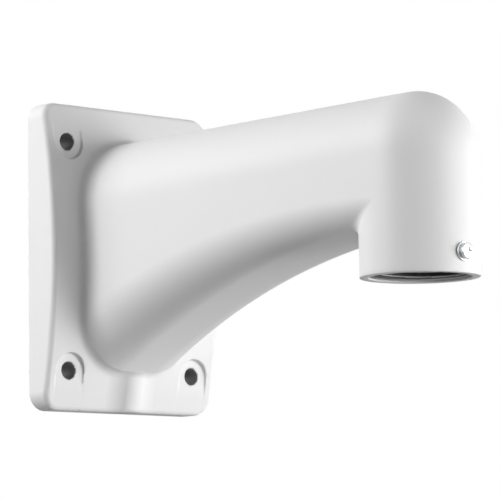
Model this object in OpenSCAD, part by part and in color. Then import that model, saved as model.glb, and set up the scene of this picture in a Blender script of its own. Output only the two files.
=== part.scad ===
// Wall bracket for a hanging security camera. Millimetres.
// A white cast body with a crowned wall plate and a hollow arm that turns down into a threaded tube,
// and a small lock screw with two washers at the front of the tube.
// Origin: middle of the plate's back, on the wall. X leaves the wall along the arm, Z is up.

/* [Wall plate] */
// width of the wall plate from side to side
plate_width = 116.9; // [110:0.1:124]
// height of the wall plate
plate_height = 165.9; // [160:0.1:176]
// radius of the plate's corners, seen from the front
plate_corner = 9.8; // [8:0.1:16]
// thickness of the crowned plate at its middle
plate_middle = 22.2; // [20:0.1:24]
// thickness of the crowned plate at its top and bottom edges
plate_edge = 12.4; // [11:0.1:14]
// rounding of the plate's front edge
edge_round = 2.8; // [1:0.1:3.4]
// thickness of the cast walls
wall = 4; // [3.4:0.1:4.6]
// width of the rim left round the hollow back of the plate
rim = 5; // [4:0.1:6.5]

/* [Wall screw holes] */
// distance between the screw holes across the plate
hole_across = 86.8; // [84.4:0.1:88]
// distance between the screw holes up the plate
hole_up = 123.6; // [121:0.1:126]
// diameter of each screw hole
hole_bore = 9.28; // [8:0.02:10.4]
// height of the flat floor round each screw hole, from the wall
pocket_floor = 15.3; // [14:0.1:16]
// radius of the round end of each screw pocket
pocket_radius = 9.5; // [8.4:0.1:10]
// diameter of the pillar behind each screw hole
pillar_size = 21; // [19:0.1:23]

/* [Arm] */
// distance from the wall to the axis of the tube
reach = 237.6; // [222:0.1:255]
// height of the level top of the arm above the middle of the plate
crest = 63.8; // [60:0.1:66]
// width of the arm where it leaves the plate
root_width = 75.2; // [70:0.1:78]
// how quickly the arm widens toward the plate, one is straight
widening = 1.8; // [1.2:0.1:2.4]
// radius of the long arc under the arm
under_radius = 465.6; // [455:0.1:475]
// distance from the wall to the centre of the long arc
under_out = 249.8; // [246:0.1:256]
// depth of the centre of the long arc below the middle of the plate
under_depth = 467.4; // [459:0.1:476]
// lower edge rounding at the tube, measured across
edge_across_tube = 11.2; // [9:0.1:13]
// lower edge rounding at the tube, measured up
edge_up_tube = 10.9; // [9:0.1:13]
// lower edge rounding at the plate, measured across
edge_across_root = 27.3; // [22:0.1:31]
// lower edge rounding at the plate, measured up
edge_up_root = 30.8; // [25:0.1:34]
// radius of the hollow corner between arm and plate
root_fillet = 4.5; // [3:0.1:8]
// radius of the hollow corner between arm and tube
tube_fillet = 5; // [3:0.1:9]

/* [Ridge below the arm] */
// distance from the wall to the front of the ridge
ridge_front = 20.9; // [17:0.1:22]
// radius of the ridge's nose
ridge_nose = 10.8; // [8:0.1:12]
// radius of the hollow sides of the ridge
ridge_side = 17.5; // [12:0.1:19]
// angle that the nose turns through on each side
ridge_turn = 37.5; // [32:0.5:40]
// radius where the ridge runs up into the arm
ridge_rise = 11; // [8:0.1:13]

/* [Tube] */
// outer diameter of the tube and its round elbow
tube_outer = 60; // [58:0.1:64]
// height of the round elbow above the straight part of the tube
elbow_high = 32; // [30:0.1:34]
// distance of the tube's lower end below the middle of the plate
tube_drop = 28.8; // [26:0.1:36]
// inner diameter over the crests of the pipe thread
thread_crest = 44.84; // [44:0.02:46]
// length of the pipe thread
thread_length = 19; // [16:0.1:20]
// diameter of the plain lead-in below the thread
mouth_size = 50.7; // [49.5:0.1:52]
// depth of the plain lead-in
mouth_depth = 1.6; // [1.2:0.1:2.4]

/* [Lock screw] */
// height of the lock screw above the tube's lower end
screw_up = 10.3; // [9:0.1:12]
// diameter of the screw's shank
screw_size = 4; // [3.6:0.1:4.6]
// gap all round between the shank and what it passes through
shank_gap = 0.1; // [0.05:0.01:0.2]
// length of the shank under the head
screw_length = 8.4; // [7.6:0.1:9]
// diameter of the screw's head
head_size = 8.1; // [7.4:0.1:8.8]
// height of the screw's domed head
head_height = 2.3; // [2:0.1:2.8]
// height of the straight side of the head
head_side = 1.2; // [0.9:0.1:1.5]
// diameter of the flat washer
washer_size = 9.6; // [9:0.1:10.6]
// thickness of the flat washer
washer_thick = 0.9; // [0.7:0.05:1.1]
// diameter of the spring washer
spring_size = 7.4; // [6.9:0.1:7.8]
// thickness of the spring washer
spring_thick = 0.9; // [0.7:0.05:1.1]
// width of the split in the spring washer
spring_split = 0.6; // [0.4:0.1:0.9]
// width of each slot of the cross recess
recess_width = 0.9; // [0.7:0.1:1.1]
// length of each slot of the cross recess
recess_length = 4.6; // [4:0.1:5.2]
// depth of the cross recess
recess_depth = 1.3; // [1:0.1:1.5]

/* [Hidden] */
// number of flats standing for one turn of a true circle
turn_sides = 96;
// length by which every cut runs past the face that it opens
overrun = 1;
// depth by which a joined skin is sunk into its neighbour
sink = 0.3;
// depth by which the arm's skin runs on inside the tube's wall
bury = wall / 2;
tube_r = tube_outer / 2;
elbow_up = crest - elbow_high;
edge_fall = plate_middle - plate_edge;
half_up = plate_height / 2;
crown_radius = (pow(half_up, 2) + pow(edge_fall, 2)) / (edge_fall * 2);
bore_r = tube_r - wall;
bore_up = thread_length + mouth_depth - tube_drop;
ridge_half = (ridge_nose + ridge_side) * sin(ridge_turn);
ridge_high = (ridge_nose + ridge_side) * (1 - cos(ridge_turn));
washer_face = reach + tube_r + washer_thick;
head_base = washer_face + spring_thick;
screw_z = screw_up - tube_drop;
// steps of the loft's outline: half floor, lower rounding, side, quarter of the top
floor_steps = 2;
edge_steps = 6;
side_steps = 3;
top_steps = 8;
// steps of the elbow's quarter outline
elbow_steps = 16;
half_steps = floor_steps + edge_steps + side_steps + top_steps;
ring_count = half_steps * 2;
// angles of a hollow corner, from the steep start to the run-out
corner_angles = [76, 60, 44, 28, 14, 0];
arm_steps = 10;

// crowned front of the plate at a height
function front(z) = plate_middle - crown_radius + sqrt(pow(crown_radius, 2) - pow(z, 2));
// share of the way from the tube back to the plate
function back_share(x) = min(1, max(0, (reach - x) / (reach - plate_middle)));
function arm_half(x, inset) =
    tube_r + (root_width / 2 - tube_r) * pow(back_share(x), widening) - inset;
function arm_rise(x, inset) =
    elbow_high + (root_width / 2 - elbow_high) * back_share(x) - inset;
function arm_floor(x, inset) =
    sqrt(pow(under_radius + inset, 2) - pow(max(x, plate_middle) - under_out, 2)) - under_depth;
function edge_across(x, inset) =
    edge_across_tube + (edge_across_root - edge_across_tube) * back_share(x) - inset;
function edge_up(x, inset) =
    edge_up_tube + (edge_up_root - edge_up_tube) * back_share(x) - inset;

// point of the arm's section number i of the near half at x: side, height, and outward direction
function half_point(i, x, inset) =
    let (half = arm_half(x, inset), low = arm_floor(x, inset), top = crest - inset,
        across = edge_across(x, inset), up = edge_up(x, inset), rise = arm_rise(x, inset))
    i < floor_steps ? [(half - across) * i / floor_steps, low, 0, -1] :
    i <= floor_steps + edge_steps ?
        let (a = 90 * (i - floor_steps) / edge_steps - 90)
        [half - across + across * cos(a), low + up + up * sin(a), cos(a), sin(a)] :
    i < floor_steps + edge_steps + side_steps ?
        let (share = (i - floor_steps - edge_steps) / side_steps)
        [half, low + up + (top - rise - low - up) * share, 1, 0] :
        let (a = 90 * (i - floor_steps - edge_steps - side_steps) / top_steps)
        [half * cos(a), top - rise + rise * sin(a), cos(a), sin(a)];
function ring_point(i, x, inset) =
    i <= half_steps ? half_point(i, x, inset) :
    let (p = half_point(ring_count - i, x, inset)) [-p[0], p[1], -p[2], p[3]];

// how far the tube's wall lies in front of its axis, met by a point of the section
function wall_out(i) =
    let (p = ring_point(i, reach, 0))
    p[1] < elbow_up ? sqrt(max(0, pow(tube_r, 2) - pow(p[0], 2))) : 0;
// share of the hollow corner that a point of the section takes at the tube
function corner_share(i) =
    let (p = ring_point(i, reach, 0))
    p[1] < elbow_up ? 1 - p[2] * p[0] / tube_r : 0;

// vertex of the outer skin: section point i at x, moved outward
function skin_vertex(i, x, out) =
    let (p = ring_point(i, x, 0)) [x, p[0] + p[2] * out, p[1] + p[3] * out];
function root_vertex(i, away, out) =
    let (p = ring_point(i, plate_middle, 0),
        x = front(min(half_up, abs(p[1] + p[3] * out))) + away)
    skin_vertex(i, x, out);
function root_start(i) =
    let (p = ring_point(i, plate_middle, 0)) front(abs(p[1])) + root_fillet;
function tube_start(i) = reach - wall_out(i) - tube_fillet;

function skin_rings() = concat(
    [[for (i = [0 : ring_count - 1])
        root_vertex(i, -plate_edge / 2, root_fillet * (1 - cos(corner_angles[0])))]],
    [for (a = corner_angles) [for (i = [0 : ring_count - 1])
        root_vertex(i, root_fillet * (1 - sin(a)), root_fillet * (1 - cos(a)))]],
    [for (k = [1 : arm_steps]) [for (i = [0 : ring_count - 1])
        skin_vertex(i, root_start(i) + (tube_start(i) - root_start(i)) * k / arm_steps, 0)]],
    [for (k = [len(corner_angles) - 2 : -1 : 0]) [for (i = [0 : ring_count - 1])
        let (a = corner_angles[k])
        skin_vertex(i, tube_start(i) + tube_fillet * sin(a),
            tube_fillet * (1 - cos(a)) * corner_share(i) - sink * sin(a) / 2)]],
    [[for (i = [0 : ring_count - 1])
        skin_vertex(i, wall_out(i) > bury ? reach - wall_out(i) + bury : reach,
            tube_fillet * (1 - cos(corner_angles[0])) * corner_share(i) - sink / 2)]]);

// vertex of the hollow inside the arm, drawn in a little where it meets the hollow elbow
function core_vertex(i, x) =
    let (p = ring_point(i, max(x, plate_middle), x < reach ? wall : wall + sink)) [x, p[0], p[1]];
function core_rings() = concat(
    [[for (i = [0 : ring_count - 1]) core_vertex(i, -overrun)]],
    [for (k = [0 : 2 : arm_steps]) [for (i = [0 : ring_count - 1])
        core_vertex(i, plate_middle + (reach - plate_middle) * k / arm_steps)]]);

function middle_of(ring) = [for (k = [0 : 2]) ([for (p = ring) 1] * [for (p = ring) p[k]]) / len(ring)];

// solid skin stretched over rings of equal length, each end closed round its middle
module loft(rings) {
    count = len(rings[0]);
    last = len(rings) - 1;
    points = concat([for (r = rings) each r], [middle_of(rings[0]), middle_of(rings[last])]);
    start = count * len(rings);
    sides = [for (k = [0 : last - 1]) for (i = [0 : count - 1])
        let (j = (i + 1) % count)
        each [[k * count + i, (k + 1) * count + i, (k + 1) * count + j],
            [k * count + i, (k + 1) * count + j, k * count + j]]];
    ends = [for (i = [0 : count - 1])
        let (j = (i + 1) % count)
        each [[start, i, j], [start + 1, last * count + j, last * count + i]]];
    polyhedron(points = points, faces = concat(sides, ends), convexity = 8);
}

// steps of the plate's outline: each corner, each side
corner_steps = 6;
crown_steps = 12;
rise_steps = 6;
nose_steps = 4;
plate_half_steps = corner_steps * 2 + crown_steps;
// angles of a rounded edge, from the side face to the front face
round_angles = [0, 30, 60, 90];

// point of the plate's near half outline, drawn in by inset: side and height
function side_point(i, inset) =
    let (half = plate_width / 2 - inset, up = half_up - inset, c = plate_corner - inset)
    i <= corner_steps ?
        let (a = 90 * i / corner_steps - 90) [half - c + c * cos(a), c - up + c * sin(a)] :
    i < corner_steps + crown_steps ?
        [half, (up - c) * (2 * (i - corner_steps) / crown_steps - 1)] :
        let (a = 90 * (i - corner_steps - crown_steps) / corner_steps)
        [half - c + c * cos(a), up - c + c * sin(a)];

// one ring round the plate, lowered below its crowned front, or flat where back is given
function plate_ring(inset, drop, back) = concat(
    [for (i = [0 : plate_half_steps]) let (p = side_point(i, inset))
        [is_undef(back) ? front(p[1]) - drop : back, p[0], p[1]]],
    [for (i = [plate_half_steps : -1 : 0]) let (p = side_point(i, inset))
        [is_undef(back) ? front(p[1]) - drop : back, -p[0], p[1]]]);

// crowned block: rings from the back to the front, the front closed by level strips
module crowned_block(rings) {
    count = len(rings[0]);
    last = len(rings) - 1;
    sides = [for (k = [0 : last - 1]) for (i = [0 : count - 1])
        let (j = (i + 1) % count)
        each [[k * count + i, (k + 1) * count + i, (k + 1) * count + j],
            [k * count + i, (k + 1) * count + j, k * count + j]]];
    strips = [for (i = [0 : plate_half_steps - 1])
        [last * count + i, last * count + count - 1 - i,
            last * count + count - 2 - i, last * count + i + 1]];
    polyhedron(points = [for (r = rings) each r],
        faces = concat([[for (i = [0 : count - 1]) i]], sides, strips), convexity = 4);
}

module plate_skin() {
    crowned_block(concat([plate_ring(0, 0, 0)],
        [for (a = round_angles) plate_ring(edge_round * (1 - cos(a)), edge_round * (1 - sin(a)))]));
}

module plate_hollow() {
    difference() {
        crowned_block([plate_ring(rim, 0, -overrun), plate_ring(rim, wall)]);
        at_holes() translate([0, 0, -overrun * 2])
            cylinder(r = pillar_size / 2, h = plate_middle + overrun, $fn = turn_sides);
    }
}

// the four screw holes, each with its own Z axis pointing out of the wall
module at_holes() {
    for (side = [-1, 1]) for (up = [-1, 1])
        translate([0, side * hole_across / 2, up * hole_up / 2])
            rotate([0, 90, 0]) children();
}

// flat-floored pocket, open toward the plate's top or bottom edge
module pockets() {
    for (side = [-1, 1]) for (up = [0, 1]) mirror([0, 0, up])
        translate([pocket_floor, side * hole_across / 2, -hole_up / 2]) {
            rotate([0, 90, 0]) cylinder(r = pocket_radius, h = plate_edge, $fn = turn_sides);
            translate([0, -pocket_radius, -half_up])
                cube([plate_edge, pocket_radius * 2, half_up]);
        }
}

// ridge: its own section, side and height above the plate
function ridge_point(i) =
    i <= nose_steps ?
        let (a = ridge_turn * i / nose_steps)
        [ridge_nose * sin(a), ridge_high - ridge_nose * (1 - cos(a))] :
        let (a = ridge_turn * (2 - i / nose_steps))
        [ridge_half - ridge_side * sin(a), ridge_side * (1 - cos(a))];
rise_centre = sqrt(pow(under_radius - ridge_rise, 2) - pow(under_out - ridge_front - ridge_rise, 2))
    - under_depth;
rise_turn = acos((under_out - ridge_front - ridge_rise) / (under_radius - ridge_rise));
rise_top = rise_centre + ridge_rise * sin(rise_turn);
rise_front = ridge_front + ridge_rise * (1 - cos(rise_turn));

function ridge_ring(z, nose, drop) =
    let (scale_up = (nose - front(z)) / ridge_high)
    concat([[plate_edge / 2, -ridge_half, z]],
        [for (i = [-2 * nose_steps : 2 * nose_steps])
            let (p = ridge_point(abs(i)))
            [front(z) + p[1] * scale_up - drop - sink, sign(i) * p[0], z]],
        [[plate_edge / 2, ridge_half, z]]);

module ridge_skin() {
    loft(concat(
        [ridge_ring(sink - half_up, front(half_up), edge_round)],
        [for (a = round_angles)
            ridge_ring(sink + (edge_round - sink) * (1 - cos(a)) - half_up, ridge_front,
                edge_round * (1 - sin(a)))],
        [for (k = [0 : rise_steps]) let (a = rise_turn * k / rise_steps)
            ridge_ring(rise_centre + ridge_rise * sin(a), ridge_front + ridge_rise * (1 - cos(a)), 0)],
        [ridge_ring(rise_top + wall / 2, rise_front, 0)]));
}

// half outline of a tube with a round closed top, from its lower end: distance from the axis, height
function tube_outline(half, rise, low) = concat([[0, low], [half, low]],
    [for (i = [0 : elbow_steps]) let (a = 90 * i / elbow_steps)
        [half * cos(a), elbow_up + rise * sin(a)]]);

module tube_skin() {
    translate([reach, 0, 0]) rotate_extrude($fn = turn_sides)
        polygon(tube_outline(tube_r, elbow_high, -tube_drop));
}

module tube_hollow() {
    translate([reach, 0, 0]) rotate_extrude($fn = turn_sides)
        polygon(tube_outline(bore_r, elbow_high - wall, bore_up));
    translate([reach, 0, -tube_drop - overrun])
        cylinder(r = thread_crest / 2, h = bore_up + tube_drop + overrun * 2, $fn = turn_sides);
    translate([reach, 0, -tube_drop - overrun])
        cylinder(r = mouth_size / 2, h = mouth_depth + overrun, $fn = turn_sides);
}

// along the lock screw's axis, starting on the tube's own axis
module at_screw(out) {
    translate([out, 0, screw_z]) rotate([0, 90, 0]) children();
}

// channel inside the ridge, from the hollow plate up to the hollow arm
module ridge_channel() {
    translate([ridge_front - ridge_nose, 0, rim - half_up])
        cylinder(r = ridge_nose - wall, h = rise_top + half_up, $fn = turn_sides);
}

module bracket() {
    color([0.93, 0.93, 0.92])
    difference() {
        union() {
            plate_skin();
            loft(skin_rings());
            ridge_skin();
            tube_skin();
        }
        plate_hollow();
        loft(core_rings());
        ridge_channel();
        tube_hollow();
        pockets();
        at_holes() translate([0, 0, -overrun])
            cylinder(r = hole_bore / 2, h = pocket_floor + overrun * 2, $fn = turn_sides);
        at_screw(reach) cylinder(r = screw_size / 2 + shank_gap, h = tube_outer, $fn = turn_sides);
    }
}

module washer_blank(size, thick) {
    difference() {
        cylinder(r = size / 2, h = thick, $fn = turn_sides);
        translate([0, 0, -overrun])
            cylinder(r = screw_size / 2 + shank_gap, h = thick + overrun * 2, $fn = turn_sides);
    }
}

module flat_washer() {
    color([0.75, 0.76, 0.78])
    at_screw(washer_face - washer_thick) washer_blank(washer_size, washer_thick);
}

module spring_washer() {
    color([0.7, 0.71, 0.73])
    at_screw(washer_face) difference() {
        washer_blank(spring_size, spring_thick);
        translate([0, -spring_split / 2, -overrun])
            cube([spring_size, spring_split, spring_thick + overrun * 2]);
    }
}

module lock_screw() {
    dome_r = (pow(head_size / 2, 2) + pow(head_height - head_side, 2)) / (head_height - head_side) / 2;
    color([0.75, 0.76, 0.78])
    at_screw(head_base) difference() {
        union() {
            translate([0, 0, -screw_length])
                cylinder(r = screw_size / 2, h = screw_length + head_side / 2, $fn = turn_sides);
            intersection() {
                cylinder(r = head_size / 2, h = head_height, $fn = turn_sides);
                translate([0, 0, head_height - dome_r]) sphere(r = dome_r, $fn = turn_sides);
            }
        }
        for (turn = [0, 90]) rotate([0, 0, turn])
            translate([-recess_length / 2, -recess_width / 2, head_height - recess_depth])
                cube([recess_length, recess_width, recess_depth + overrun]);
    }
}

bracket();
flat_washer();
spring_washer();
lock_screw();
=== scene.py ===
import math
import bpy
import numpy as np
from mathutils import Matrix, Vector


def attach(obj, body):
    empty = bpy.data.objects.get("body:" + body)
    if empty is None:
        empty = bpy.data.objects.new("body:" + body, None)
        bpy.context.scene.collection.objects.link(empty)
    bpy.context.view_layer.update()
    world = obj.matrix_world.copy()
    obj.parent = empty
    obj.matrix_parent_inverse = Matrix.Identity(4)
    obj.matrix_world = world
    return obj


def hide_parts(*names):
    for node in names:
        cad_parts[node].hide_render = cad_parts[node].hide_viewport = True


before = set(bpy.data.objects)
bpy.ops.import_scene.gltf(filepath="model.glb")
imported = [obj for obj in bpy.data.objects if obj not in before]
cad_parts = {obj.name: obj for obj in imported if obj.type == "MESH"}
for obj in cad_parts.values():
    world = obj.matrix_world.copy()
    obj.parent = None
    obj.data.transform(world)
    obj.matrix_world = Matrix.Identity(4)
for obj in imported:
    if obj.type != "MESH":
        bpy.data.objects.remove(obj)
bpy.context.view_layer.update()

# Sizes, in millimetres as in the CAD
MM = 0.001
WALL = 4.0

# Wall plate
PLATE_HALF_WIDE = 58.45
PLATE_HALF_HIGH = 82.95
PLATE_CORNER = 9.8
PLATE_MIDDLE = 22.2
PLATE_EDGE = 12.4
CROWN_FALL = PLATE_MIDDLE - PLATE_EDGE
CROWN_R = (PLATE_HALF_HIGH ** 2 + CROWN_FALL ** 2) / (2 * CROWN_FALL)
RIM = 5.0
EDGE_ROUND = 2.8
BACK_ROUND = 0.5

# Screw holes with their recesses in front and their pillars behind
HOLE_Y = 43.4
HOLE_Z = 61.8
HOLE_R = 4.64
HOLE_ROUND = 0.2
PILLAR_R = 10.5
POCKET_R = 9.5
POCKET_FLOOR = 15.3
POCKET_ROUND = 0.5
POCKET_FILLET = 0.8
FLOOR_BLEND = 40.0

# Ridge below the arm and the channel behind it
RIDGE_HEIGHT = 4.6
RIDGE_NOSE = 13.7
RIDGE_SIDE = 27.0
RIDGE_TURN = math.radians(25)
CHANNEL_X = 8.1
CHANNEL_R = 6.8

# Arm, from its root on the plate to the tube
REACH = 237.6
CREST = 63.8
ARM_START = 4.0
ROOT_HALF = 37.6
WIDENING = 1.8
UNDER_R = 465.6
UNDER_OUT = 249.8
UNDER_DEPTH = 467.4
ACROSS_TUBE = 11.2
UP_TUBE = 10.9
ACROSS_ROOT = 27.3
UP_ROOT = 30.8
ROOT_FILLET = 4.5
TUBE_FILLET = 5.0

# Tube with its domed elbow and its pipe thread
TUBE_R = 30.0
TUBE_DROP = 28.8
ELBOW_HIGH = 32.0
ELBOW_Z = CREST - ELBOW_HIGH
FOOT_ROUND = 0.5
BORE_R = TUBE_R - WALL
LEDGE_ROUND = 0.4
THREAD_CREST = 22.42
THREAD_ROOT = 23.9
THREAD_PITCH = 2.309
THREAD_LENGTH = 19.0
THREAD_START = 0.55
FLANK_STEEPNESS = 1.2
GROOVE_SHARE = 0.45
LEAD_HIGH = 1.6
LEAD_SLOPE = 3.0
MOUTH_R = 25.35
MOUTH_DEEP = 0.9
BORE_Z = THREAD_LENGTH + LEAD_HIGH - TUBE_DROP

# Edges and fillets of the hollow
HOLLOW_ROUND = 2.0
BORE_FILLET = 3.0
PASSAGE_FILLET = 0.8
INNER_ROUND = 0.6

# Lock screw and its washers
SCREW_UP = 10.3
SHANK_R = 2.0
SHANK_GAP = 0.1
SHANK_LENGTH = 8.4
SHANK_PITCH = 0.7
SHANK_GROOVE = 0.2
SHANK_PLAIN = 1.0
SHANK_FADE = 0.4
SHANK_FILLET = 0.2
HEAD_R = 4.05
HEAD_HEIGHT = 2.3
HEAD_SIDE = 1.7
HEAD_ROUND = 0.45
RECESS_HALF = 0.35
RECESS_REACH = 1.9
RECESS_DEPTH = 1.3
RECESS_LEAN_SHARE = 0.12
RECESS_POINT_SHARE = 0.55
RECESS_ROUND = 0.08
WASHER_R = 4.8
WASHER_THICK = 0.9
WASHER_ROUND = 0.22
SPRING_R = 3.7
SPRING_THICK = 0.9
SPRING_SPLIT = 0.6
SPRING_ROUND = 0.1
SPRING_LEAN = 6.0
STAMPED_ROUND = 0.06
SCREW_Z = SCREW_UP - TUBE_DROP
WASHER_FACE = REACH + TUBE_R + WASHER_THICK
HEAD_BASE = WASHER_FACE + SPRING_THICK

# Grid of the body: spacings, and the places where one changes to the next
GRID_FINE = 0.85
GRID_HOLES = 0.9
GRID_ROOT = 1.2
GRID_MIDDLE = 1.5
GRID_TUBE = 1.6
GRID_ARM = 3.6
PLATE_FRONT = 24.0
ROOT_FRONT = 42.0
ARM_FRONT = 196.0
HOLES_FROM_Y = 33.0
HOLES_FROM_Z = 50.0
BORE_BELOW = 8.0
LENGTH_MARGIN = 1.5
SIDE_MARGIN = 1.2

# Band round the surface in which the body's field is worked out, and the value beyond it
BAND_INSIDE = 26.0
BAND_OUTSIDE = 6.0
BEYOND = 5.0

# Where the grid's tube ends and the collar's rings begin
COLLAR_Z = -14.0
COLLAR_TRIM = 0.6
COLLAR_SPARE = 3.0
TUBE_BACK = REACH - TUBE_R - 4.0

# Grid of the lock screw
SCREW_SPACING = 0.14
HEAD_SPACING = 0.12
HEAD_GRID_BACK = 0.1
HEAD_MARGIN = 0.2
TIP_MARGIN = 0.3

# Numeric guards: the step of a slope, its least size, a least divisor and the range of a corner's cosine
PROBE = 0.02
LEAST_SLOPE = 0.3
TINY = 1e-6
CORNER_RANGE = (-0.97, 0.995)

# Distance fields, each positive outside and zero on the surface
def crown(x, y, z, drop=0.0):
    return np.sqrt((x - PLATE_MIDDLE + CROWN_R) ** 2 + z * z) - (CROWN_R - drop)

def outline(x, y, z, inset=0.0):
    corner = PLATE_CORNER - inset
    side = np.abs(y) - (PLATE_HALF_WIDE - PLATE_CORNER)
    up = np.abs(z) - (PLATE_HALF_HIGH - PLATE_CORNER)
    past = np.hypot(np.maximum(side, 0), np.maximum(up, 0))
    return past + np.minimum(np.maximum(side, up), 0) - corner

def wall_side(x, y, z):
    return -x

def ridge(x, y, z):
    """Crowned front with the ridge: a round nose between two hollow sides, on the lower half only."""
    base = PLATE_MIDDLE - CROWN_R + np.sqrt(np.maximum(CROWN_R ** 2 - z * z, 1))
    high = np.where(z < 0, RIDGE_HEIGHT, 0)
    full = (RIDGE_NOSE + RIDGE_SIDE) * (1 - math.cos(RIDGE_TURN))
    wide = (RIDGE_NOSE + RIDGE_SIDE) * math.sin(RIDGE_TURN)
    across = np.abs(y)
    nose = full - RIDGE_NOSE + np.sqrt(np.maximum(RIDGE_NOSE ** 2 - across ** 2, 0))
    side = RIDGE_SIDE - np.sqrt(np.maximum(RIDGE_SIDE ** 2 - (wide - across) ** 2, 0))
    on_nose = across < RIDGE_NOSE * math.sin(RIDGE_TURN)
    rise = np.where(on_nose, nose, np.where(across < wide, side, 0))
    return x - base - rise * high / full

def pocket(x, y, z):
    """The four recesses, open toward the plate's top and bottom edges."""
    side = np.abs(y) - HOLE_Y
    up = np.minimum(np.abs(z) - HOLE_Z, 0)
    return np.hypot(side, up) - POCKET_R

def pocket_floor(x, y, z):
    return x - POCKET_FLOOR

def hole(x, y, z, radius=HOLE_R):
    return np.hypot(np.abs(y) - HOLE_Y, np.abs(z) - HOLE_Z) - radius

def pillar(x, y, z):
    return hole(x, y, z, PILLAR_R)

def crown_core(x, y, z):
    return crown(x, y, z, WALL)

def outline_core(x, y, z):
    return outline(x, y, z, RIM)

def channel(x, y, z):
    ring = np.hypot(x - CHANNEL_X, y) - CHANNEL_R
    return np.maximum(ring, np.maximum(RIM - PLATE_HALF_HIGH - z, z))

def ellipse(u, v, a, b):
    near = np.sqrt((u / a) ** 2 + (v / b) ** 2)
    slope = np.sqrt((u / a ** 2) ** 2 + (v / b ** 2) ** 2)
    return near * (near - 1) / np.maximum(slope, TINY)

def ellipsoid(u, v, w, a, b):
    near = np.sqrt((u / a) ** 2 + (v / a) ** 2 + (w / b) ** 2)
    slope = np.sqrt((u / a ** 2) ** 2 + (v / a ** 2) ** 2 + (w / b ** 2) ** 2)
    return near * (near - 1) / np.maximum(slope, TINY)

def arm(x, y, z, inset=0.0):
    """The arm's section at each x: a half ellipse on top, straight sides and round lower corners."""
    share = np.clip((REACH - x) / (REACH - PLATE_MIDDLE), 0, 1)
    half = TUBE_R + (ROOT_HALF - TUBE_R) * share ** WIDENING - inset
    rise = ELBOW_HIGH + (ROOT_HALF - ELBOW_HIGH) * share - inset
    out = np.maximum(x, PLATE_MIDDLE) - UNDER_OUT
    low = np.sqrt((UNDER_R + inset) ** 2 - out ** 2) - UNDER_DEPTH
    across = ACROSS_TUBE + (ACROSS_ROOT - ACROSS_TUBE) * share - inset
    up = UP_TUBE + (UP_ROOT - UP_TUBE) * share - inset
    side = np.abs(y)
    top = CREST - inset - rise
    straight = np.maximum(side - half, low - z)
    cap = ellipse(side, z - top, half, rise)
    corner = ellipse(side - half + across, z - low - up, across, up)
    in_corner = (side > half - across) & (z < low + up)
    return np.where(z > top, cap, np.where(in_corner, corner, straight))

def arm_outer(x, y, z):
    return np.maximum(arm(x, y, z), ARM_START - x)

def arm_core(x, y, z):
    return arm(x, y, z, WALL)

def tube(x, y, z, inset=0.0):
    """The upright tube with the elbow's dome on top."""
    out = x - REACH
    wall = np.hypot(out, y) - (TUBE_R - inset)
    dome = ellipsoid(out, y, z - ELBOW_Z, TUBE_R - inset, ELBOW_HIGH - inset)
    return np.where(z > ELBOW_Z, dome, wall)

def tube_core(x, y, z):
    return tube(x, y, z, WALL)

# Solids as pairs of a distance and an outward direction, so that edges and fillets come out round
def sloped(field, points):
    """A field's distance and outward direction at the points."""
    value = field(*points)
    slope = []
    for axis in range(3):
        ahead = [p + PROBE if k == axis else p for k, p in enumerate(points)]
        behind = [p - PROBE if k == axis else p for k, p in enumerate(points)]
        slope.append((field(*ahead) - field(*behind)) / (2 * PROBE))
    slope = np.array(slope)
    size = np.maximum(np.sqrt((slope ** 2).sum(0)), LEAST_SLOPE)
    return value / size, slope / size

def flip(part):
    return -part[0], -part[1]

def joined(one, two, radius):
    """Both solids together, with a round hollow corner of that radius between them."""
    (a, ga), (b, gb) = one, two
    nearer = a < b
    value = np.where(nearer, a, b)
    slope = np.where(nearer, ga, gb)
    turn = np.clip((ga * gb).sum(0), *CORNER_RANGE)
    u, v = radius - a, radius - b
    p, q = u - turn * v, v - turn * u
    away = np.sqrt(np.maximum((u * u + v * v - 2 * turn * u * v) / (1 - turn ** 2), TINY ** 2))
    between = (p > 0) & (q > 0)
    mixed = p * ga + q * gb
    mixed = mixed / np.maximum(np.sqrt((mixed ** 2).sum(0)), TINY)
    return np.where(between, radius - away, value), np.where(between, mixed, slope)

def common(one, two, radius):
    """What lies in both solids, with a round edge of that radius."""
    return flip(joined(flip(one), flip(two), radius))

def cut(one, two, radius):
    """The first solid without the second, with a round edge of that radius."""
    return common(one, flip(two), radius)

def arm_with_tube(points, arm_field, tube_field, fillet):
    """The arm and the tube it runs into; ahead of the tube's axis the tube alone counts."""
    upright = sloped(tube_field, points)
    both = joined(sloped(arm_field, points), upright, fillet)
    behind = points[0] < REACH
    return np.where(behind, both[0], upright[0]), np.where(behind, both[1], upright[1])

def plate_outer(points):
    """The crowned plate with its recesses and its ridge."""
    crowned = common(sloped(crown, points), sloped(pocket_floor, points), FLOOR_BLEND)
    ridged = cut(sloped(ridge, points), sloped(pocket, points), POCKET_ROUND)
    front = joined(crowned, ridged, POCKET_FILLET)
    plate = common(front, sloped(outline, points), EDGE_ROUND)
    return common(plate, sloped(wall_side, points), BACK_ROUND)

def hollow(points):
    """All that is open inside: the plate's back round its pillars, the cable's way and the channel."""
    back = common(sloped(crown_core, points), sloped(outline_core, points), HOLLOW_ROUND)
    back = cut(back, sloped(pillar, points), HOLLOW_ROUND)
    way = arm_with_tube(points, arm_core, tube_core, BORE_FILLET)
    return joined(joined(back, way, PASSAGE_FILLET), sloped(channel, points), PASSAGE_FILLET)

def body(points):
    """The whole cast body above the collar."""
    arms = arm_with_tube(points, arm_outer, tube, TUBE_FILLET)
    outer = joined(plate_outer(points), arms, ROOT_FILLET)
    whole = cut(outer, hollow(points), INNER_ROUND)
    return cut(whole, sloped(hole, points), HOLE_ROUND)

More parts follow.
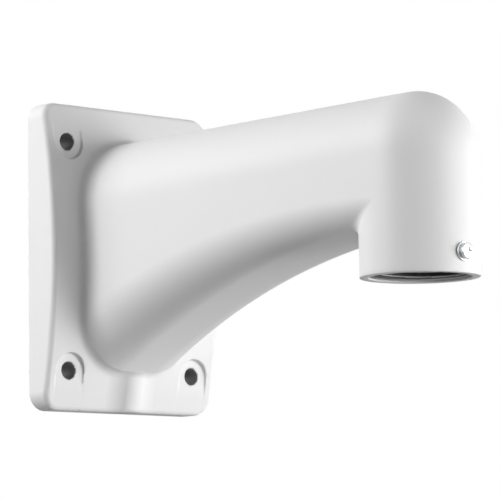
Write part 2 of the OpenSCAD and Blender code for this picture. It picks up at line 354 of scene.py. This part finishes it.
def rough_body(x, y, z):
    """The body without fillets and hollow, to find the grid points near its surface."""
    front = np.minimum(crown(x, y, z), ridge(x, y, z))
    plate = np.maximum(np.maximum(front, outline(x, y, z)), wall_side(x, y, z))
    arms = np.minimum(np.maximum(arm_outer(x, y, z), x - REACH), tube(x, y, z))
    return np.minimum(plate, arms)

# Meshes from fields
def spans(*stops):
    """Grid lines from stop to stop, each pair with its own spacing between."""
    lines = [stops[0]]
    for spacing, end in zip(stops[1::2], stops[2::2]):
        count = max(1, round((end - lines[-1]) / spacing))
        lines.extend(np.linspace(lines[-1], end, count + 1)[1:])
    return np.array(lines, float)

def stepped_back(cells, axes, steps):
    cells = cells.copy()
    for axis, step in zip(axes, steps):
        cells[:, axis] -= step
    return cells

def within(cells, axes, lowest, shape):
    """Which cells lie in the grid, counted from the lowest along both axes."""
    return np.logical_and.reduce([(cells[:, n] >= lowest) & (cells[:, n] < shape[n]) for n in axes])

def surface(lines, value):
    """Dual surface of a field on a grid: a vertex in each crossed cell, a quad on each crossed edge."""
    inside = value < 0
    shape = tuple(n - 1 for n in value.shape)
    total = [np.zeros(shape) for _ in range(3)]
    count = np.zeros(shape)
    edges = []
    for axis in range(3):
        first, second = [slice(None)] * 3, [slice(None)] * 3
        first[axis], second[axis] = slice(0, -1), slice(1, None)
        first, second = tuple(first), tuple(second)
        at = np.argwhere(inside[first] != inside[second])
        before, after = value[first][tuple(at.T)], value[second][tuple(at.T)]
        share = before / (before - after)
        place = [lines[n][at[:, n]] for n in range(3)]
        place[axis] = place[axis] * (1 - share) + lines[axis][at[:, axis] + 1] * share
        axes = [n for n in range(3) if n != axis]
        for steps in ((0, 0), (0, 1), (1, 0), (1, 1)):
            cells = stepped_back(at, axes, steps)
            ok = within(cells, axes, 0, shape)
            where = tuple(cells[ok].T)
            np.add.at(count, where, 1)
            for n in range(3):
                np.add.at(total[n], where, place[n][ok])
        edges.append((axis, axes, at, before < 0))
    active = tuple(np.argwhere(count > 0).T)
    index = np.full(shape, -1)
    index[active] = np.arange(len(active[0]))
    points = [t[active] / count[active] for t in total]
    quads = []
    for axis, axes, at, starts_inside in edges:
        ok = within(at, axes, 1, shape)
        at, starts_inside = at[ok], starts_inside[ok]
        corners = [index[tuple(stepped_back(at, axes, steps).T)]
                   for steps in ((1, 1), (0, 1), (0, 0), (1, 0))]
        quad = np.stack(corners, 1)
        turned = starts_inside ^ (axis == 1)
        quad[~turned] = quad[~turned][:, ::-1]
        quads.append(quad)
    return points, np.concatenate(quads)

def settled(points, field, reach=0.8):
    """Moves points onto a field's zero surface, at most by the reach in each of four steps."""
    for _ in range(4):
        away, slope = field(points)
        away = np.clip(away, -reach, reach)
        points = [p - away * g for p, g in zip(points, slope)]
    return points

def mesh_object(name, verts, faces, normals=None):
    mesh = bpy.data.meshes.new(name)
    corners = [tuple(v) for v in np.asarray(verts) * MM]
    mesh.from_pydata(corners, [], [tuple(int(i) for i in face) for face in faces])
    mesh.shade_smooth()
    if normals is not None:
        mesh.normals_split_custom_set_from_vertices([tuple(n) for n in normals])
    made = bpy.data.objects.new(name, mesh)
    bpy.context.scene.collection.objects.link(made)
    return made

# Cast body
def trimmed(points, quads):
    """Leaves out the tube below the collar line and lays its rim on that line."""
    x, y, z = points
    gone = (x > TUBE_BACK) & (z < COLLAR_Z - COLLAR_TRIM)
    quads = quads[~gone[quads].any(1)]
    used = np.unique(quads)
    index = np.full(len(x), -1)
    index[used] = np.arange(len(used))
    x, y, z = (p[used] for p in points)
    quads = index[quads]
    pairs = np.concatenate([quads[:, [k, (k + 1) % 4]] for k in range(4)])
    keys, counts = np.unique(np.sort(pairs, 1), axis=0, return_counts=True)
    rim = np.unique(keys[counts == 1])
    rim = rim[x[rim] > TUBE_BACK]
    z[rim] = COLLAR_Z
    return [x, y, z], quads

def body_grid():
    """Grid lines of the body, close together at the plate's front, its holes and the tube."""
    below = BORE_Z - BORE_BELOW
    side, top = PLATE_HALF_WIDE + SIDE_MARGIN, PLATE_HALF_HIGH + SIDE_MARGIN
    xs = spans(-LENGTH_MARGIN, GRID_FINE, PLATE_FRONT, GRID_ROOT, ROOT_FRONT,
               GRID_ARM, ARM_FRONT, GRID_TUBE, REACH + TUBE_R + LENGTH_MARGIN)
    half = spans(0, GRID_MIDDLE, HOLES_FROM_Y, GRID_HOLES, side)
    low = spans(-top, GRID_FINE, -HOLES_FROM_Z, GRID_MIDDLE, below)
    high = spans(below, GRID_MIDDLE, HOLES_FROM_Z, GRID_FINE, top)
    return xs, np.concatenate([-half[:0:-1], half]), np.concatenate([low[:-1], high])

def make_body():
    lines = body_grid()
    grid = np.meshgrid(*lines, indexing="ij")
    flat = [g.ravel() for g in grid]
    rough = rough_body(*flat)
    near = (rough > -BAND_INSIDE) & (rough < BAND_OUTSIDE)
    value = np.full(rough.shape, BEYOND)
    value[near] = body([f[near] for f in flat])[0]
    value[(flat[0] > TUBE_BACK) & (flat[2] < COLLAR_Z - COLLAR_SPARE)] = BEYOND
    points, quads = surface(lines, value.reshape(grid[0].shape))
    points, quads = trimmed(settled(points, body), quads)
    return mesh_object("cast_body", np.stack(points, 1), quads, body(points)[1].T)

# Collar, with the pipe thread as a real helix
RING_STEPS = 192
WALL_STEPS = 8
THREAD_STEPS = 90
THREAD_RUNOUT = 2
# Slots of the collar's materials; the groove slot holds a dark metal painted into the thread's grooves as
# shade
WHITE_SLOT, BARE_SLOT, GROOVE_SHADE_SLOT = 0, 1, 2
COLLAR_SHARP = math.radians(50)

def thread_radius(turn, z):
    """Radius of the pipe thread's wall at a turn (one is a full circle) and a height."""
    phase = ((z - BORE_Z) / THREAD_PITCH - turn + THREAD_START) % 1
    share = np.clip((np.abs(2 * phase - 1) - 0.5) * FLANK_STEEPNESS + 0.5, 0, 1)
    share = share * share * (3 - 2 * share)
    return THREAD_CREST + (THREAD_ROOT - THREAD_CREST) * share

def collar_profile():
    """Radius and height down the tube's outer wall and round its foot to the start of the lead-in."""
    foot = -TUBE_DROP
    level = foot + FOOT_ROUND
    rows = [(TUBE_R, z) for z in np.linspace(COLLAR_Z, level, WALL_STEPS)]
    for angle in (30, 60, 90):
        a = math.radians(angle)
        rows.append((TUBE_R - FOOT_ROUND + FOOT_ROUND * math.cos(a), level - FOOT_ROUND * math.sin(a)))
    for angle in (0, 30, 60, 90):
        a = math.radians(angle)
        rows.append((MOUTH_R + FOOT_ROUND - FOOT_ROUND * math.sin(a), level - FOOT_ROUND * math.cos(a)))
    rows.append((MOUTH_R, foot + MOUTH_DEEP))
    return rows

def make_collar():
    """The tube's lower end: outer wall, foot, lead-in and the pipe thread up to its ledge."""
    rows = collar_profile()
    turns = np.arange(RING_STEPS) / RING_STEPS
    rings = [np.full(RING_STEPS, radius) for radius, z in rows]
    heights = [z for radius, z in rows]
    thread_row = len(rows) - 1
    start = heights[-1]
    for z in np.linspace(start, BORE_Z, THREAD_STEPS)[1:]:
        rings.append(np.maximum(thread_radius(turns, z), MOUTH_R - LEAD_SLOPE * (z - start)))
        heights.append(z)
    rings.append(np.full(RING_STEPS, BORE_R + LEDGE_ROUND))
    heights.append(BORE_Z)
    rings = np.array(rings)
    levels = np.repeat(np.array(heights)[:, None], RING_STEPS, 1)
    angle = turns * 2 * math.pi
    verts = np.stack([REACH + rings * np.cos(angle), rings * np.sin(angle), levels], 2).reshape(-1, 3)
    faces = []
    for k in range(len(rings) - 1):
        this, above = k * RING_STEPS, (k + 1) * RING_STEPS
        for i in range(RING_STEPS):
            j = (i + 1) % RING_STEPS
            faces.append((this + i, above + i, above + j, this + j))
    made = mesh_object("tube_collar", verts, faces)
    # Faces deep in the thread's grooves get the dark metal: painted shade in the grooves
    deep = rings[:-1] > THREAD_CREST + GROOVE_SHARE * (THREAD_ROOT - THREAD_CREST)
    row = np.arange(len(rings) - 1)[:, None]
    painted_shade_rows = deep & (row > thread_row + THREAD_RUNOUT)
    kind = np.where(row < thread_row, WHITE_SLOT, np.where(painted_shade_rows, GROOVE_SHADE_SLOT, BARE_SLOT))
    made.data.polygons.foreach_set("material_index", kind.ravel())
    made.data.set_sharp_from_angle(angle=COLLAR_SHARP)
    return made

# Lock screw
def head_cylinder(x, y, z):
    return np.maximum(np.hypot(y, z - SCREW_Z) - HEAD_R, HEAD_BASE - x)

def head_dome(x, y, z):
    rise = HEAD_HEIGHT - HEAD_SIDE
    radius = (HEAD_R ** 2 + rise ** 2) / rise / 2
    return np.sqrt((x - HEAD_BASE - HEAD_HEIGHT + radius) ** 2 + y * y + (z - SCREW_Z) ** 2) - radius

def recess(x, y, z):
    """Cross recess with leaning flanks that runs to a blunt point."""
    up = z - SCREW_Z
    deep = HEAD_BASE + HEAD_HEIGHT - x
    lean = RECESS_LEAN_SHARE * deep
    end = RECESS_REACH * (1 - RECESS_POINT_SHARE * np.clip(deep / RECESS_DEPTH, 0, 1))
    slots = []
    for along, across in ((y, up), (up, y)):
        slots.append(np.maximum((np.abs(along) - end) * 0.75, np.abs(across) - RECESS_HALF + lean))
    return np.maximum(np.minimum(slots[0], slots[1]), deep - RECESS_DEPTH)

def shank(x, y, z):
    """Shank with its fine thread, which fades out below the head."""
    turn = np.arctan2(z - SCREW_Z, y) / (2 * math.pi)
    wave = np.abs(((x / SHANK_PITCH - turn) % 1) * 2 - 1)
    fade = np.clip((HEAD_BASE - SHANK_PLAIN - x) / SHANK_FADE, 0, 1)
    groove = SHANK_GROOVE * np.clip(1.4 * wave - 0.2, 0, 1) * fade
    side = (np.hypot(y, z - SCREW_Z) - (SHANK_R - groove)) * 0.85
    tip = HEAD_BASE - SHANK_LENGTH - x
    return np.maximum(side, np.maximum(tip, x - HEAD_BASE - SHANK_FADE))

def screw(points):
    head = common(sloped(head_cylinder, points), sloped(head_dome, points), HEAD_ROUND)
    head = cut(head, sloped(recess, points), RECESS_ROUND)
    return joined(head, sloped(shank, points), SHANK_FILLET)

def make_screw():
    xs = spans(HEAD_BASE - SHANK_LENGTH - TIP_MARGIN, SCREW_SPACING, HEAD_BASE - HEAD_GRID_BACK,
               HEAD_SPACING, HEAD_BASE + HEAD_HEIGHT + HEAD_MARGIN)
    ys = spans(-HEAD_R - HEAD_MARGIN, SCREW_SPACING, HEAD_R + HEAD_MARGIN)
    lines = (xs, ys, ys + SCREW_Z)
    grid = np.meshgrid(*lines, indexing="ij")
    value = screw([g.ravel() for g in grid])[0].reshape(grid[0].shape)
    points, quads = surface(lines, value)
    points = settled(points, screw, RECESS_ROUND)
    return mesh_object("screw_body", np.stack(points, 1), quads, screw(points)[1].T)

# Washers
RING_SHARP = math.radians(40)

def ring_mesh(name, profile, start, end, lean=0.0, count=96):
    """Sweeps a closed profile of (radius, x) round the screw's axis; an open sweep gets end faces."""
    whole = end - start >= 360
    stops = np.linspace(start, end, count + 1)[:count if whole else count + 1]
    verts = []
    for stop in stops:
        for radius, x in profile:
            a = math.radians(stop + lean * (x - profile[0][1]))
            verts.append((x, radius * math.sin(a), SCREW_Z - radius * math.cos(a)))
    width = len(profile)
    faces = []
    for k in range(count):
        m = (k + 1) % len(stops)
        for i in range(width):
            j = (i + 1) % width
            faces.append((k * width + i, k * width + j, m * width + j, m * width + i))
    if not whole:
        faces.append(tuple(range(width))[::-1])
        faces.append(tuple(count * width + i for i in range(width)))
    made = mesh_object(name, verts, faces)
    made.data.set_sharp_from_angle(angle=RING_SHARP)
    return made

def rounded_profile(inner, outer, low, high, soft, sharp):
    """Rectangle of radius by x; the outer front corner is soft, the others nearly sharp."""
    corners = [(inner, low, sharp, 180), (outer, low, sharp, 270),
               (outer, high, soft, 0), (inner, high, sharp, 90)]
    points = []
    for radius, x, r, first in corners:
        centre = (radius + (r if radius == inner else -r), x + (r if x == low else -r))
        for step in range(5):
            a = math.radians(first + step * 22.5)
            points.append((centre[0] + r * math.cos(a), centre[1] + r * math.sin(a)))
    return points

def make_flat_washer():
    profile = rounded_profile(SHANK_R + SHANK_GAP, WASHER_R, WASHER_FACE - WASHER_THICK, WASHER_FACE,
                              WASHER_ROUND, STAMPED_ROUND)
    return ring_mesh("washer_ring", profile, 0, 360)

def make_spring_washer():
    profile = rounded_profile(SHANK_R + SHANK_GAP, SPRING_R, WASHER_FACE, HEAD_BASE,
                              SPRING_ROUND, STAMPED_ROUND)
    gap = math.degrees(SPRING_SPLIT / SPRING_R) / 2
    return ring_mesh("spring_ring", profile, gap, 360 - gap, SPRING_LEAN)

cast = make_body()
collar = make_collar()
screw_body = make_screw()
washer_ring = make_flat_washer()
spring_ring = make_spring_washer()
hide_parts("bracket")
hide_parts("lock_screw")
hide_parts("flat_washer")
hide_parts("spring_washer")
for piece in (cast, collar, screw_body, washer_ring, spring_ring):
    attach(piece, "root")

# Helpers for shader nodes
def shader(name):
    made = bpy.data.materials.new(name)
    made.use_nodes = True
    tree = made.node_tree
    return made, tree, tree.nodes["Principled BSDF"]

def number(tree, operation, one, two=None):
    """A maths node on sockets or plain numbers; returns its result."""
    made = tree.nodes.new("ShaderNodeMath")
    made.operation = operation
    for slot, value in ((0, one), (1, two)):
        if isinstance(value, (int, float)):
            made.inputs[slot].default_value = value
        elif value is not None:
            tree.links.new(value, made.inputs[slot])
    return made.outputs["Value"]

def grain(tree, base, scale, height, detail=2.0):
    """Fine bumps in object space; returns the noise so that it can vary the finish too."""
    place = tree.nodes.new("ShaderNodeTexCoord")
    noise = tree.nodes.new("ShaderNodeTexNoise")
    noise.inputs["Scale"].default_value = scale
    noise.inputs["Detail"].default_value = detail
    bump = tree.nodes.new("ShaderNodeBump")
    bump.inputs["Distance"].default_value = height
    bump.inputs["Strength"].default_value = 1.0
    tree.links.new(place.outputs["Object"], noise.inputs["Vector"])
    tree.links.new(noise.outputs["Fac"], bump.inputs["Height"])
    tree.links.new(bump.outputs["Normal"], base.inputs["Normal"])
    return noise

def varied(tree, noise, low, high, socket):
    """Spreads the noise's middle range over the values from low to high."""
    spread = tree.nodes.new("ShaderNodeMapRange")
    spread.inputs["From Min"].default_value = 0.3
    spread.inputs["From Max"].default_value = 0.7
    spread.inputs["To Min"].default_value = low
    spread.inputs["To Max"].default_value = high
    tree.links.new(noise.outputs["Fac"], spread.inputs["Value"])
    tree.links.new(spread.outputs["Result"], socket)

# Materials: tones, and the grain's scale per metre with its height in metres
COAT = (0.78, 0.78, 0.78, 1)
# Darker tone painted into the screw holes' bores as shade
BORE_SHADE_TONE = (0.34, 0.34, 0.34, 1)
COAT_SHINE = 0.2
COAT_GRAIN = 900
COAT_GRAIN_HEIGHT = 0.000008
BORE_MARGIN = 0.1
CAST_GRAIN = 2500
CAST_GRAIN_HEIGHT = 0.000006
STEEL_GRAIN = 3000
STEEL_GRAIN_HEIGHT = 0.000003

def paint_shade_in_bores(tree, base):
    """Paints shade into the screw holes' bores: inside them the base colour is mixed to a darker tone."""
    place = tree.nodes.new("ShaderNodeTexCoord")
    parts = tree.nodes.new("ShaderNodeSeparateXYZ")
    tree.links.new(place.outputs["Object"], parts.inputs["Vector"])
    side = number(tree, "SUBTRACT", number(tree, "ABSOLUTE", parts.outputs["Y"]), HOLE_Y * MM)
    up = number(tree, "SUBTRACT", number(tree, "ABSOLUTE", parts.outputs["Z"]), HOLE_Z * MM)
    square = number(tree, "ADD", number(tree, "MULTIPLY", side, side), number(tree, "MULTIPLY", up, up))
    inside = number(tree, "LESS_THAN", number(tree, "SQRT", square), (HOLE_R + BORE_MARGIN) * MM)
    tone = tree.nodes.new("ShaderNodeMix")
    tone.data_type = "RGBA"
    tone.inputs["A"].default_value = COAT
    tone.inputs["B"].default_value = BORE_SHADE_TONE
    tree.links.new(inside, tone.inputs["Factor"])
    tree.links.new(tone.outputs["Result"], base.inputs["Base Color"])

def powder_coat():
    made, tree, base = shader("white_powder_coat")
    # Painted shade in the screw holes' bores
    paint_shade_in_bores(tree, base)
    base.inputs["Specular IOR Level"].default_value = COAT_SHINE
    noise = grain(tree, base, COAT_GRAIN, COAT_GRAIN_HEIGHT)
    varied(tree, noise, 0.42, 0.48, base.inputs["Roughness"])
    return made

def metal(name, tone, low, high, scale, height):
    """A metal whose roughness varies from low to high with its grain."""
    made, tree, base = shader(name)
    base.inputs["Base Color"].default_value = tone
    base.inputs["Metallic"].default_value = 1.0
    noise = grain(tree, base, scale, height, 3.0)
    varied(tree, noise, low, high, base.inputs["Roughness"])
    return made

def bare_aluminium():
    return metal("bare_aluminium", (0.5, 0.5, 0.51, 1), 0.4, 0.5, CAST_GRAIN, CAST_GRAIN_HEIGHT)

# Dark metal painted into the thread's grooves as shade, darker than the bare aluminium of the crests
def thread_groove_painted_shade():
    return metal("thread_groove_painted_shade", (0.16, 0.16, 0.16, 1), 0.55, 0.65, CAST_GRAIN, CAST_GRAIN_HEIGHT)

def zinc_plated_steel():
    return metal("zinc_plated_steel", (0.6, 0.61, 0.62, 1), 0.32, 0.38, STEEL_GRAIN, STEEL_GRAIN_HEIGHT)

def spring_steel():
    return metal("spring_steel", (0.7, 0.71, 0.72, 1), 0.26, 0.34, STEEL_GRAIN, STEEL_GRAIN_HEIGHT)

# Camera, solved from the photo: focal length in its pixels, place in millimetres, angles in degrees
PHOTO_WIDE = 500
FOCAL = 3108.6
SPOT = (1309.2, -1083.65, -189.26)
YAW, PITCH, ROLL = 47.825, 6.571, -0.784
SENSOR_WIDE = 36
CLIP_NEAR, CLIP_FAR = 0.05, 50

def make_camera():
    yaw, pitch, roll = (math.radians(v) for v in (YAW, PITCH, ROLL))
    ahead = Vector((-math.sin(yaw) * math.cos(pitch), math.cos(yaw) * math.cos(pitch), math.sin(pitch)))
    level = Vector((math.cos(yaw), math.sin(yaw), 0))
    upright = level.cross(ahead)
    right = level * math.cos(roll) + upright * math.sin(roll)
    up = -level * math.sin(roll) + upright * math.cos(roll)
    data = bpy.data.cameras.new("camera")
    data.sensor_width = SENSOR_WIDE
    data.sensor_fit = "AUTO"
    data.lens = FOCAL * SENSOR_WIDE / PHOTO_WIDE
    data.clip_start, data.clip_end = CLIP_NEAR, CLIP_FAR
    made = bpy.data.objects.new("camera", data)
    bpy.context.scene.collection.objects.link(made)
    rows = [(right[k], up[k], -ahead[k], SPOT[k] * MM) for k in range(3)]
    made.matrix_world = Matrix(rows + [(0, 0, 0, 1)])
    bpy.context.scene.camera = made

# World and floor, in metres
AMBIENT = 0.02
BACKDROP = 1
FLOOR_HALF = 8.0
FLOOR_LEVEL = -1.5
FLOOR_GLOW = 0.88
FLOOR_TONE = (0.8, 0.8, 0.8, 1)
FLOOR_ROUGHNESS = 0.8
PURE_WHITE = (1, 1, 1, 1)

def seen_rays(tree):
    """One for rays that show the background: camera, glossy and transmission rays."""
    path = tree.nodes.new("ShaderNodeLightPath")
    seen = number(tree, "MAXIMUM", path.outputs["Is Camera Ray"], path.outputs["Is Glossy Ray"])
    return number(tree, "MAXIMUM", seen, path.outputs["Is Transmission Ray"])

def even_light(tree, strength):
    made = tree.nodes.new("ShaderNodeBackground")
    made.inputs["Color"].default_value = PURE_WHITE
    made.inputs["Strength"].default_value = strength
    return made.outputs[0]

def make_world():
    """Faint even light, with white for the rays that show the background."""
    world = bpy.data.worlds.new("studio")
    bpy.context.scene.world = world
    world.use_nodes = True
    tree = world.node_tree
    tree.nodes.clear()
    out = tree.nodes.new("ShaderNodeOutputWorld")
    mix = tree.nodes.new("ShaderNodeMixShader")
    tree.links.new(seen_rays(tree), mix.inputs["Fac"])
    tree.links.new(even_light(tree, AMBIENT), mix.inputs[1])
    tree.links.new(even_light(tree, BACKDROP), mix.inputs[2])
    tree.links.new(mix.outputs[0], out.inputs["Surface"])

def make_floor():
    """A pale floor far below; its glow shows to the camera only, so it throws no light on the bracket."""
    mesh = bpy.data.meshes.new("floor")
    corners = [(x * FLOOR_HALF, y * FLOOR_HALF, FLOOR_LEVEL)
               for x, y in ((-1, -1), (1, -1), (1, 1), (-1, 1))]
    mesh.from_pydata(corners, [], [(0, 1, 2, 3)])
    made = bpy.data.objects.new("floor", mesh)
    bpy.context.scene.collection.objects.link(made)
    shade, tree, base = shader("floor")
    base.inputs["Base Color"].default_value = FLOOR_TONE
    base.inputs["Roughness"].default_value = FLOOR_ROUGHNESS
    base.inputs["Emission Color"].default_value = PURE_WHITE
    path = tree.nodes.new("ShaderNodeLightPath")
    glow = number(tree, "MULTIPLY", path.outputs["Is Camera Ray"], FLOOR_GLOW)
    tree.links.new(glow, base.inputs["Emission Strength"])
    mesh.materials.append(shade)

# Lamps: name, azimuth from +X toward +Y and height angle in degrees, power in watts
LAMPS = [
    ("right_low", 30, -5, 14.2),
    ("right_front_high", 10, 15, 5.5),
    ("right_front", 10, -5, 5.3),
    ("far_right", 70, -5, 6.9),
    ("far_right_under", 70, -30, 1.7),
    ("left", -110, 15, 13.4),
    ("left_high", -110, 35, 4.4),
    ("front_left_high", -90, 35, 0.4),
    ("back_left", -130, 35, 8.8),
    ("back_left_far", -150, 35, 0.8),
    ("back_left_low", -150, 15, 2.3),
]
LAMP_AWAY = 1.6
LAMP_WIDE = 0.8
AIM = Vector((0.13, 0, 0.0))

def make_lamps():
    for name, azimuth, rise, power in LAMPS:
        a, e = math.radians(azimuth), math.radians(rise)
        way = Vector((math.cos(a) * math.cos(e), math.sin(a) * math.cos(e), math.sin(e)))
        data = bpy.data.lights.new(name, "AREA")
        data.shape = "RECTANGLE"
        data.size, data.size_y = LAMP_WIDE, LAMP_WIDE
        data.energy = power
        made = bpy.data.objects.new(name, data)
        bpy.context.scene.collection.objects.link(made)
        made.location = AIM + way * LAMP_AWAY
        made.rotation_mode = "QUATERNION"
        made.rotation_quaternion = (-way).to_track_quat("-Z", "Y")
        made.visible_camera = False

white = powder_coat()
bare = bare_aluminium()
groove = thread_groove_painted_shade()
zinc = zinc_plated_steel()
spring = spring_steel()
cast.data.materials.append(white)
collar.data.materials.append(white)
collar.data.materials.append(bare)
# Third slot: painted shade for the thread's grooves
collar.data.materials.append(groove)
screw_body.data.materials.append(zinc)
washer_ring.data.materials.append(zinc)
spring_ring.data.materials.append(spring)
make_camera()
make_world()
make_floor()
make_lamps()
bpy.context.scene.view_settings.view_transform = "Standard"
